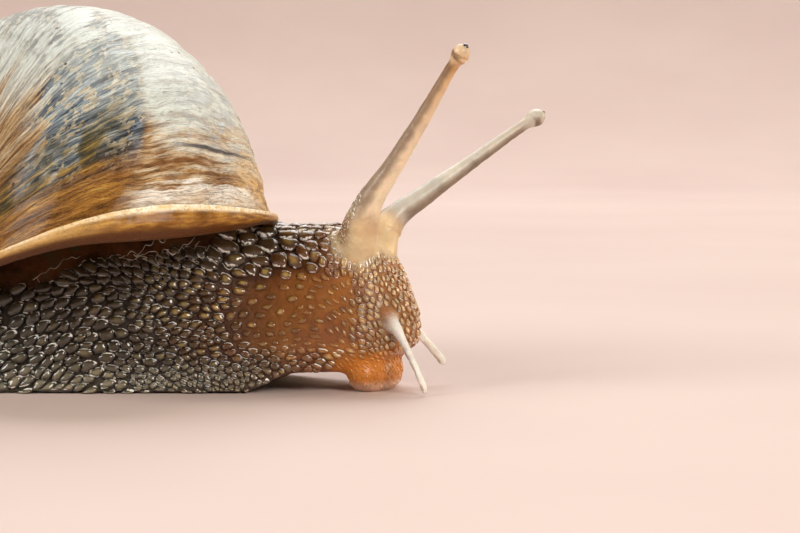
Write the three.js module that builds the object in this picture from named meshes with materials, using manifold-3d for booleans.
// A life-size garden snail (Cornu aspersum) crawling on a level floor, in millimetres.
// +X is forward, +Y is the animal's left, +Z is up, and the floor is z = 0.
// The shell coils to the right, so its spire hangs over the animal's right side (-Y).
import * as THREE from "three";
import { ParametricGeometry } from "three/addons/geometries/ParametricGeometry.js";
import { mergeVertices } from "three/addons/utils/BufferGeometryUtils.js";
import Module from "manifold-3d";

const wasm = await Module();
wasm.setup();

const DEG = Math.PI / 180;
const TURN = 2 * Math.PI;

// ---- Shell: one oval section that grows as it turns about the axis ----
const APEX = new THREE.Vector3(-18.12, -4.55, 17.46);
const AXIS_SWING = 57.5 * DEG; // how far the axis points rearward from straight across
const AXIS_LIFT = 29.1 * DEG; // how far the apex end of the axis is raised
const AXIS_ROLL = 13.7 * DEG; // height of the lip's front above the axis, as an angle
const WHORLS = 4.25;
const SECTION_OUT = 9.81; // half-width of the section, away from the axis, at the lip
const SECTION_ALONG = 10.14; // half-height of the section, along the axis, at the lip
const SECTION_RADIUS = 10.23; // distance of the section's centre from the axis at the lip
const SECTION_DROP = 19.47; // how far the section's centre lies below the apex at the lip
const BASE_FULLNESS = 0.1; // how much fuller the section is between its base and the axis
const EARLY_GROWTH = 2.15; // size ratio from one whorl to the next in the spire
const LAST_GROWTH = 2.5; // the same ratio at the lip, where the shell opens faster
const GROWTH_EASE = 0.6; // turns over which the ratio changes
const LEAN_SIN = 30.3; // lean of a growth line round the section, in degrees of turn
const LEAN_COS = -17.8;
const LEAN_COS2 = 4.2;
const LEAN_SIN2 = -8.5;
const MOUTH_DEPTH = 0.08; // turns that the open mouth of the shell is deep
const MOUTH_SHARE = 0.88; // the mouth's hollow as a share of the section
const COLUMELLA_RADIUS = 2.1;
const COLUMELLA_REACH = 0.93; // how deep it goes, as a share of SECTION_DROP
const COLUMELLA_TOP = 9.5; // where the last whorl's part of it begins, below the apex
const SEAM = 0.14; // gap between a piece and the neighbour that it is cut by
const WELDS = [1e-3, 1.7e-3]; // corners nearer than this are joined, on two grids in turn

// ---- Lip: the turned-out rim round the mouth ----
const LIP_FROM = 112 * DEG; // where it leaves the whorl above it
const LIP_TO = -150 * DEG; // where it ends at the columella
const LIP_HALF_THICK = 0.56;
const LIP_HALF_NARROW = 0.38; // half its breadth at both ends
const LIP_HALF_BROAD = 1.04; // half its breadth in the middle of the side
const LIP_BROADEST = 18 * DEG;
const LIP_SPREAD = 37 * DEG; // angle to each side over which it narrows

// ---- Flesh: sections across the body from the tail's tip to the face ----
// sole and back are half-widths, top and under are heights.
const BODY_STATIONS = [
  { x: -30.4, y: 2.2, sole: 0.35, back: 0.3, top: 0.7, under: 0 }, // tail's tip
  { x: -27.5, y: 1.5, sole: 1.7, back: 0.9, top: 1.5, under: 0 },
  { x: -22.0, y: 0.5, sole: 3.4, back: 2.1, top: 2.8, under: 0 },
  { x: -15.5, y: 0.0, sole: 4.8, back: 3.3, top: 3.9, under: 0 },
  { x: -9.0, y: 0.0, sole: 5.7, back: 4.4, top: 6.8, under: 0 },
  { x: -3.5, y: 0.0, sole: 5.9, back: 5.1, top: 10.2, under: 0 }, // under the shell
  { x: 2.5, y: 0.0, sole: 6.0, back: 5.4, top: 11.5, under: 0 },
  { x: 8.0, y: -0.1, sole: 6.0, back: 5.2, top: 11.4, under: 0 },
  { x: 11.6, y: -0.5, sole: 5.6, back: 4.9, top: 10.5, under: 0.1 }, // the neck leaves the shell
  { x: 14.4, y: -1.2, sole: 4.5, back: 4.6, top: 10.45, under: 1.15 }, // arch under the neck
  { x: 16.8, y: -2.0, sole: 3.3, back: 4.4, top: 10.7, under: 1.25 },
  { x: 18.5, y: -2.7, sole: 2.7, back: 3.95, top: 10.1, under: 1.35 }, // between the tentacles
  { x: 19.9, y: -3.15, sole: 2.1, back: 3.2, top: 8.8, under: 2.0 },
  { x: 20.85, y: -3.5, sole: 1.5, back: 2.25, top: 6.9, under: 2.45 },
  { x: 21.65, y: -3.75, sole: 0.7, back: 1.0, top: 5.2, under: 3.05 }, // face
];
const ROWS_PER_STATION = 3;
const MARGIN_HEIGHT = 0.9; // height over which the foot's margin spreads out
const SOLE_SHARE = 0.1; // share of the points round a section that lie on the sole
const HEAD_YAW = -22 * DEG;
const CHIN = { x: 18.75, y: -2.95, z: 1.15, long: 1.85, wide: 3.15, high: 2.05 };

// ---- Where the body is parted ----
const CUT = 0.12;
const SOLE_LAYER = 1.15;
const TAIL_END = -15;
const TRUNK_END = 4.5;
const NECK_END = 15.2;
const FOOT_REAR_END = -9;
const FOOT_MIDDLE_END = 7;
const FOOT_END = 14.4; // where the foot rises into the lobe at the mouth
const ALL_BEHIND = -40;
const ALL_AHEAD = 40;
const ALL_ABOVE = 30;

// ---- Tentacles: centre lines from root to tip, with a radius at each point ----
const UPPER_RIGHT = [
  { at: [17.7, -3.6, 8.6], r: 1.55 },
  { at: [18.0, -4.1, 10.6], r: 1.25 },
  { at: [18.5, -4.5, 12.2], r: 0.88 },
  { at: [19.9, -5.2, 14.4], r: 0.64 },
  { at: [21.65, -6.2, 17.2], r: 0.52 },
  { at: [23.65, -7.5, 20.7], r: 0.38 },
  { at: [24.1, -7.8, 21.4], r: 0.37 },
];
const UPPER_LEFT = [
  { at: [18.9, -1.7, 8.4], r: 1.45 },
  { at: [19.6, -1.0, 10.4], r: 1.1 },
  { at: [20.6, -0.6, 11.5], r: 0.78 },
  { at: [21.9, -0.3, 12.4], r: 0.66 },
  { at: [24.9, 0.5, 14.5], r: 0.48 },
  { at: [27.9, 1.4, 16.6], r: 0.38 },
  { at: [29.3, 1.85, 17.5], r: 0.36 },
];
const LOWER_RIGHT = [
  { at: [19.2, -4.9, 5.9], r: 0.7 },
  { at: [20.0, -5.7, 4.8], r: 0.45 },
  { at: [20.75, -6.3, 3.3], r: 0.34 },
  { at: [21.5, -6.8, 1.8], r: 0.3 },
  { at: [21.95, -7.0, 0.75], r: 0.3 },
  { at: [22.1, -7.05, 0.38], r: 0.26 },
];
const LOWER_LEFT = [
  { at: [20.5, -2.2, 4.6], r: 0.66 },
  { at: [21.5, -1.7, 3.8], r: 0.42 },
  { at: [22.2, -1.3, 3.0], r: 0.34 },
  { at: [22.8, -1.0, 2.3], r: 0.31 },
  { at: [23.35, -0.8, 1.6], r: 0.33 },
];
const BULB_RADIUS = 0.6; // the swollen end that carries the eye
const BULB_LENGTH = 1.2; // its length as a share of its width
const EYE_RADIUS = 0.26;
const EYE_DEPTH = 0.2; // how far its middle lies inside the bulb's end
const SHAFT_CUT = 0.42; // where a long tentacle is parted, as a share of its length

const COLOURS = {
  shell: new THREE.MeshStandardMaterial({ color: 0xb29468, roughness: 0.45, metalness: 0 }),
  spire: new THREE.MeshStandardMaterial({ color: 0x9c8a70, roughness: 0.5, metalness: 0 }),
  lip: new THREE.MeshStandardMaterial({ color: 0xe3bd83, roughness: 0.35, metalness: 0 }),
  mantle: new THREE.MeshStandardMaterial({ color: 0x5a4632, roughness: 0.25, metalness: 0 }),
  skin: new THREE.MeshStandardMaterial({ color: 0x7d6440, roughness: 0.35, metalness: 0 }),
  face: new THREE.MeshStandardMaterial({ color: 0xa5703a, roughness: 0.35, metalness: 0 }),
  sole: new THREE.MeshStandardMaterial({ color: 0x8f7c5c, roughness: 0.3, metalness: 0 }),
  tentacle: new THREE.MeshStandardMaterial({ color: 0xb0946c, roughness: 0.35, metalness: 0 }),
  eye: new THREE.MeshStandardMaterial({ color: 0x14100e, roughness: 0.15, metalness: 0 }),
};

// ---------------------------------------------------------------- solids

function signedVolume(position, index) {
  const a = new THREE.Vector3();
  const b = new THREE.Vector3();
  const c = new THREE.Vector3();
  let volume = 0;
  for (let i = 0; i < index.length; i += 3) {
    a.fromBufferAttribute(position, index[i]);
    b.fromBufferAttribute(position, index[i + 1]);
    c.fromBufferAttribute(position, index[i + 2]);
    volume += a.dot(b.cross(c)) / 6;
  }
  return volume;
}

// A closed geometry as a solid, its faces turned outwards and its empty triangles dropped.
function toSolid(geometry, weld = 1e-4) {
  const bare = new THREE.BufferGeometry();
  bare.setAttribute("position", geometry.getAttribute("position"));
  bare.setIndex(geometry.getIndex());
  const merged = mergeVertices(bare, weld);
  const source = merged.index.array;
  const corners = [];
  for (let i = 0; i < source.length; i += 3) {
    const [a, b, c] = [source[i], source[i + 1], source[i + 2]];
    if (a !== b && b !== c && c !== a) corners.push(a, b, c);
  }
  const triVerts = new Uint32Array(corners);
  const position = merged.getAttribute("position");
  if (signedVolume(position, triVerts) < 0) triVerts.reverse();
  const mesh = new wasm.Mesh({ numProp: 3, vertProperties: position.array, triVerts });
  return new wasm.Manifold(mesh);
}

function toGeometry(solid) {
  const mesh = solid.getMesh();
  const geometry = new THREE.BufferGeometry();
  geometry.setAttribute("position", new THREE.BufferAttribute(mesh.vertProperties, 3));
  geometry.setIndex(new THREE.BufferAttribute(mesh.triVerts, 1));
  geometry.computeVertexNormals();
  return geometry;
}

function union(solids) {
  return solids.reduce((whole, piece) => whole.add(piece));
}

function largestBody(solid) {
  return solid.decompose().reduce((a, b) => (a.volume() > b.volume() ? a : b));
}

function box(low, high) {
  const size = new THREE.Vector3().subVectors(high, low);
  const middle = new THREE.Vector3().addVectors(low, high).multiplyScalar(0.5);
  const geometry = new THREE.BoxGeometry(size.x, size.y, size.z);
  return toSolid(geometry.translate(middle.x, middle.y, middle.z));
}

function ellipsoid(centre, radii, yaw) {
  const geometry = new THREE.SphereGeometry(1, 18, 10).scale(radii.x, radii.y, radii.z);
  return toSolid(geometry.rotateZ(yaw).translate(centre.x, centre.y, centre.z));
}

// Joins closed sections into one solid; each end closes to its section's middle.
// point(share, angle) gives a point of the section that lies that share of the way along.
function loft(point, along, around) {
  const middle = (share) => {
    const sum = new THREE.Vector3();
    for (let i = 0; i < around; i++) sum.add(point(share, (i / around) * TURN));
    return sum.divideScalar(around);
  };
  const ends = [middle(0), middle(1)];
  const surface = (u, v, target) => {
    const row = Math.round(v * (along + 2));
    if (row === 0) target.copy(ends[0]);
    else if (row === along + 2) target.copy(ends[1]);
    else target.copy(point((row - 1) / along, (Math.round(u * around) % around) * (TURN / around)));
  };
  return toSolid(new ParametricGeometry(surface, around, along + 2));
}

// ---------------------------------------------------------------- shell

const AXIS = new THREE.Vector3(
  -Math.sin(AXIS_SWING) * Math.cos(AXIS_LIFT),
  -Math.cos(AXIS_SWING) * Math.cos(AXIS_LIFT),
  Math.sin(AXIS_LIFT),
);
const ACROSS = new THREE.Vector3(Math.cos(AXIS_SWING), -Math.sin(AXIS_SWING), 0);
const DOWN = new THREE.Vector3().crossVectors(AXIS.clone().negate(), ACROSS);
const LIP_WAY = ACROSS.clone()
  .multiplyScalar(Math.cos(AXIS_ROLL))
  .addScaledVector(DOWN, -Math.sin(AXIS_ROLL));
const GROWING_WAY = new THREE.Vector3().crossVectors(AXIS.clone().negate(), LIP_WAY);

function growthLean(angle) {
  const degrees =
    LEAN_SIN * Math.sin(angle) +
    LEAN_COS * (Math.cos(angle) - 1) +
    LEAN_COS2 * (Math.cos(2 * angle) - 1) +
    LEAN_SIN2 * Math.sin(2 * angle);
  return degrees / 360;
}

// Size of the section at a turn, where 0 is the lip and -1 is one whorl before it.
function shellSize(turn) {
  const opening = Math.log(LAST_GROWTH / EARLY_GROWTH) * GROWTH_EASE;
  return Math.exp(Math.log(EARLY_GROWTH) * turn + opening * (Math.exp(turn / GROWTH_EASE) - 1));
}

// The section is fuller between its base and the axis, which closes the shell's underside.
function baseFill(angle) {
  const inner = Math.cos(angle) < 0 && Math.sin(angle) < 0;
  return inner ? 1 + BASE_FULLNESS * Math.sin(2 * angle) ** 2 : 1;
}

// A point of the shell's wall. angle is 0 furthest from the axis and 90 degrees towards the apex.
// share scales the section about its middle, and swell moves its wall outwards.
function shellPoint(turn, angle, share = 1, swell = 0) {
  const leaning = turn + growthLean(angle);
  const size = shellSize(leaning);
  const fill = baseFill(angle);
  const out = (SECTION_OUT * size * share + swell) * Math.cos(angle) * fill;
  const along = (SECTION_ALONG * size * share + swell) * Math.sin(angle) * fill;
  const radius = SECTION_RADIUS * size + out;
  return APEX.clone()
    .addScaledVector(AXIS, along - SECTION_DROP * size)
    .addScaledVector(LIP_WAY, radius * Math.cos(leaning * TURN))
    .addScaledVector(GROWING_WAY, radius * Math.sin(leaning * TURN));
}

function whorl(from, to, along, around, share = 1, swell = 0) {
  const point = (part, angle) => shellPoint(from + (to - from) * part, angle, share, swell);
  return loft(point, along, around);
}

// The pillar that the whorls wind round, from a height below the apex to a deeper one.
function columella(top, bottom, swell = 0) {
  const reach = SECTION_DROP * COLUMELLA_REACH;
  const radiusAt = (depth) => (COLUMELLA_RADIUS * depth) / reach + swell;
  const profile = [
    new THREE.Vector2(0, -bottom - swell),
    new THREE.Vector2(radiusAt(bottom), -bottom),
    new THREE.Vector2(radiusAt(top), -top),
    new THREE.Vector2(0, -top + swell),
  ];
  const turned = new THREE.Quaternion().setFromUnitVectors(new THREE.Vector3(0, 1, 0), AXIS);
  const geometry = new THREE.LatheGeometry(profile, 14).applyQuaternion(turned);
  return toSolid(geometry.translate(APEX.x, APEX.y, APEX.z));
}

function bodyWhorl(swell = 0) {
  return union([
    whorl(-0.5, 0, 11, 26, 1, swell),
    whorl(-1, -0.5, 10, 26, 1, swell),
    columella(COLUMELLA_TOP, SECTION_DROP * COLUMELLA_REACH, swell),
  ]);
}

function spire(swell = 0) {
  return union([
    whorl(-1.5, -1.012, 8, 14, 1, swell),
    whorl(-2, -1.5, 8, 14, 1, swell),
    whorl(-2.6, -2, 8, 14, 1, swell),
    whorl(-3.4, -2.6, 8, 14, 1, swell),
    whorl(-WHORLS, -3.4, 6, 14, 1, swell),
    columella(0.8, 8.6, swell),
  ]);
}

// The open mouth: the hollow inside the lip, less the earlier whorl that bulges into it.
function mouthHollow(share, from, to, swell) {
  const hollow = whorl(from, to, 3, 28, share);
  return hollow.subtract(whorl(-1.3, -0.72, 14, 30, 1, swell));
}

// The lip is a flattened bar along the shell's edge, broadest at the side and thin at its ends.
function lip() {
  const point = (share, angle) => {
    const place = LIP_FROM + (LIP_TO - LIP_FROM) * share;
    const edge = shellPoint(0, place);
    const growing = shellPoint(0.01, place).sub(edge).normalize();
    const round = shellPoint(0, place + 0.02).sub(edge).normalize();
    const outward = new THREE.Vector3().crossVectors(growing, round).normalize();
    if (outward.dot(edge.clone().sub(shellPoint(0, place, 0.5))) < 0) outward.negate();
    const broad = Math.exp(-(((place - LIP_BROADEST) / LIP_SPREAD) ** 2));
    const ends = Math.sqrt(Math.max(0.02, Math.sin(Math.PI * Math.min(1, Math.max(0, share)))));
    const half = (LIP_HALF_NARROW + (LIP_HALF_BROAD - LIP_HALF_NARROW) * broad) * ends;
    return edge
      .addScaledVector(growing, half * (0.9 + Math.cos(angle)))
      .addScaledVector(outward, LIP_HALF_THICK * ends * (0.1 + Math.sin(angle)));
  };
  return loft(point, 28, 8);
}

// ---------------------------------------------------------------- flesh

const BODY_LINE = new THREE.CatmullRomCurve3(
  BODY_STATIONS.map((s) => new THREE.Vector3(s.x, s.y, s.under)),
);
const BODY_SIZE = new THREE.CatmullRomCurve3(
  BODY_STATIONS.map((s) => new THREE.Vector3(s.sole, s.back, s.top)),
);

// One point of the body's skin: flat below, a spreading margin, then a domed back.
function bodyPoint(share, angle) {
  const middle = BODY_LINE.getPoint(share);
  const size = BODY_SIZE.getPoint(share);
  const way = BODY_LINE.getTangent(share).setZ(0).normalize();
  const left = new THREE.Vector3(-way.y, way.x, 0);
  const round = angle / TURN;
  const side = round < 0.5 ? -1 : 1;
  const climb = (round < 0.5 ? round : 1 - round) * 2;
  const height = Math.max(0.2, size.z - middle.z);
  const under = Math.max(0, middle.z);
  if (climb <= SOLE_SHARE) {
    const reach = (climb / SOLE_SHARE) * 0.96 * size.x;
    return new THREE.Vector3(middle.x, middle.y, under).addScaledVector(left, side * reach);
  }
  const bend = ((climb - SOLE_SHARE) / (1 - SOLE_SHARE)) * (Math.PI / 2);
  const rise = height * Math.sin(bend) ** 0.95;
  const dome = size.y * Math.cos(bend) ** 0.75;
  const margin = (size.x - size.y) * Math.exp(-rise / MARGIN_HEIGHT);
  return new THREE.Vector3(middle.x, middle.y, under + rise).addScaledVector(
    left,
    side * Math.max(0, dome + margin),
  );
}

function tentacle(stations) {
  const line = new THREE.CatmullRomCurve3(stations.map((s) => new THREE.Vector3(...s.at)));
  const radius = new THREE.CatmullRomCurve3(stations.map((s) => new THREE.Vector3(s.r, 0, 0)));
  const steps = (stations.length - 1) * 2;
  const frames = line.computeFrenetFrames(steps);
  const point = (share, angle) => {
    const step = Math.round(share * steps);
    const t = line.getUtoTmapping(step / steps);
    const r = radius.getPoint(t).x;
    return line
      .getPoint(t)
      .addScaledVector(frames.normals[step], r * Math.cos(angle))
      .addScaledVector(frames.binormals[step], r * Math.sin(angle));
  };
  return { solid: loft(point, steps, 8), line };
}

// A ball drawn out along a direction, such as the bulb at a tentacle's end.
function bulb(centre, way, radius, length) {
  const turned = new THREE.Quaternion().setFromUnitVectors(new THREE.Vector3(0, 1, 0), way);
  const geometry = new THREE.SphereGeometry(radius, 10, 8).scale(1, length, 1);
  return toSolid(geometry.applyQuaternion(turned).translate(centre.x, centre.y, centre.z));
}

// A long tentacle: its two lengths, the eye at its tip and the room that the eye needs.
function upperTentacle(stations) {
  const { solid, line } = tentacle(stations);
  const tip = line.getPoint(1);
  const way = line.getTangent(1);
  const bulbCentre = tip.clone().addScaledVector(way, BULB_RADIUS * 0.6);
  const eyeCentre = bulbCentre.clone().addScaledVector(way, BULB_RADIUS * BULB_LENGTH - EYE_DEPTH);
  const whole = solid
    .add(bulb(bulbCentre, way, BULB_RADIUS, BULB_LENGTH))
    .subtract(bulb(eyeCentre, way, EYE_RADIUS + 0.04, 1));
  return { whole, line, eye: bulb(eyeCentre, way, EYE_RADIUS, 1) };
}

// Cuts a tentacle across its line and keeps one side.
function cutAcross(solid, line, share, keepOuter) {
  const at = line.getPointAt(share);
  const way = line.getTangentAt(share);
  const reach = 40;
  const turned = new THREE.Quaternion().setFromUnitVectors(new THREE.Vector3(1, 0, 0), way);
  const offset = (keepOuter ? 1 : -1) * (reach / 2 + CUT / 2);
  const half = new THREE.BoxGeometry(reach, reach, reach).translate(offset, 0, 0);
  return solid.intersect(toSolid(half.applyQuaternion(turned).translate(at.x, at.y, at.z)));
}

function slab(from, to, low, high) {
  const side = 20;
  return box(
    new THREE.Vector3(from + CUT / 2, -side, low + CUT / 2),
    new THREE.Vector3(to - CUT / 2, side, high - CUT / 2),
  );
}

// ---------------------------------------------------------------- the snail

const snail = new THREE.Group();
snail.name = "garden_snail";

function addNode(name, solid, material) {
  const welded = WELDS.reduce((s, weld) => largestBody(toSolid(toGeometry(s), weld)), solid);
  const mesh = new THREE.Mesh(toGeometry(welded), material);
  mesh.name = name;
  snail.add(mesh);
}

const wholeWhorl = bodyWhorl();
const openWhorl = wholeWhorl.subtract(mouthHollow(MOUTH_SHARE, -MOUTH_DEPTH, 0.03, 0));
const spireSolid = spire().subtract(bodyWhorl(SEAM));
const mantle = mouthHollow(MOUTH_SHARE - 0.03, -MOUTH_DEPTH + 0.012, 0.05, SEAM).intersect(
  whorl(-0.3, 0, 8, 28),
);
const lipRoom = whorl(-0.4, 0, 10, 30, 1, 0.1).add(whorl(-1.3, -0.72, 14, 30, 1, SEAM));
const pillarRoom = columella(COLUMELLA_TOP, 17.4, SEAM);
const lipSolid = largestBody(lip().subtract(lipRoom).subtract(pillarRoom));

const shellRoom = union([
  whorl(-0.5, 0.012, 12, 26, 1, SEAM),
  whorl(-1, -0.5, 10, 26, 1, SEAM),
  whorl(-1.6, -1, 10, 26, 1, SEAM),
  columella(COLUMELLA_TOP, SECTION_DROP * COLUMELLA_REACH, SEAM),
]);

const chin = ellipsoid(
  new THREE.Vector3(CHIN.x, CHIN.y, CHIN.z),
  new THREE.Vector3(CHIN.long, CHIN.wide, CHIN.high),
  HEAD_YAW,
);
const rows = (BODY_STATIONS.length - 1) * ROWS_PER_STATION;
const upperRight = upperTentacle(UPPER_RIGHT);
const upperLeft = upperTentacle(UPPER_LEFT);
const lowerRight = tentacle(LOWER_RIGHT);
const lowerLeft = tentacle(LOWER_LEFT);

const body = loft(bodyPoint, rows, 20)
  .add(chin)
  .intersect(
    box(new THREE.Vector3(ALL_BEHIND, -20, 0), new THREE.Vector3(ALL_AHEAD, 20, ALL_ABOVE)),
  )
  .subtract(shellRoom)
  .subtract(lipSolid);

addNode("shell_spire", spireSolid, COLOURS.spire);
addNode("shell_body_whorl", openWhorl, COLOURS.shell);
addNode("shell_lip", lipSolid, COLOURS.lip);
addNode("mantle_collar", mantle, COLOURS.mantle);

addNode("tail", body.intersect(slab(ALL_BEHIND, TAIL_END, SOLE_LAYER, ALL_ABOVE)), COLOURS.skin);
addNode("trunk", body.intersect(slab(TAIL_END, TRUNK_END, SOLE_LAYER, ALL_ABOVE)), COLOURS.skin);
addNode("neck", body.intersect(slab(TRUNK_END, NECK_END, SOLE_LAYER, ALL_ABOVE)), COLOURS.skin);
addNode("head", body.intersect(slab(NECK_END, ALL_AHEAD, SOLE_LAYER, ALL_ABOVE)), COLOURS.face);
addNode(
  "foot_rear",
  body.intersect(slab(ALL_BEHIND, FOOT_REAR_END, -1, SOLE_LAYER)),
  COLOURS.sole,
);
addNode(
  "foot_middle",
  body.intersect(slab(FOOT_REAR_END, FOOT_MIDDLE_END, -1, SOLE_LAYER)),
  COLOURS.sole,
);
addNode(
  "foot_front",
  body.intersect(slab(FOOT_MIDDLE_END, FOOT_END, -1, SOLE_LAYER)),
  COLOURS.sole,
);
addNode("mouth_lobe", body.intersect(slab(FOOT_END, ALL_AHEAD, -1, SOLE_LAYER)), COLOURS.sole);

for (const [side, made] of [
  ["right", upperRight],
  ["left", upperLeft],
]) {
  const outside = made.whole.subtract(body);
  const inner = cutAcross(outside, made.line, SHAFT_CUT, false);
  const outer = cutAcross(outside, made.line, SHAFT_CUT, true);
  addNode("upper_tentacle_base_" + side, inner, COLOURS.tentacle);
  addNode("upper_tentacle_shaft_" + side, outer, COLOURS.tentacle);
  addNode("eye_" + side, made.eye, COLOURS.eye);
}
addNode("lower_tentacle_right", lowerRight.solid.subtract(body), COLOURS.tentacle);
addNode("lower_tentacle_left", lowerLeft.solid.subtract(body), COLOURS.tentacle);

export default snail;
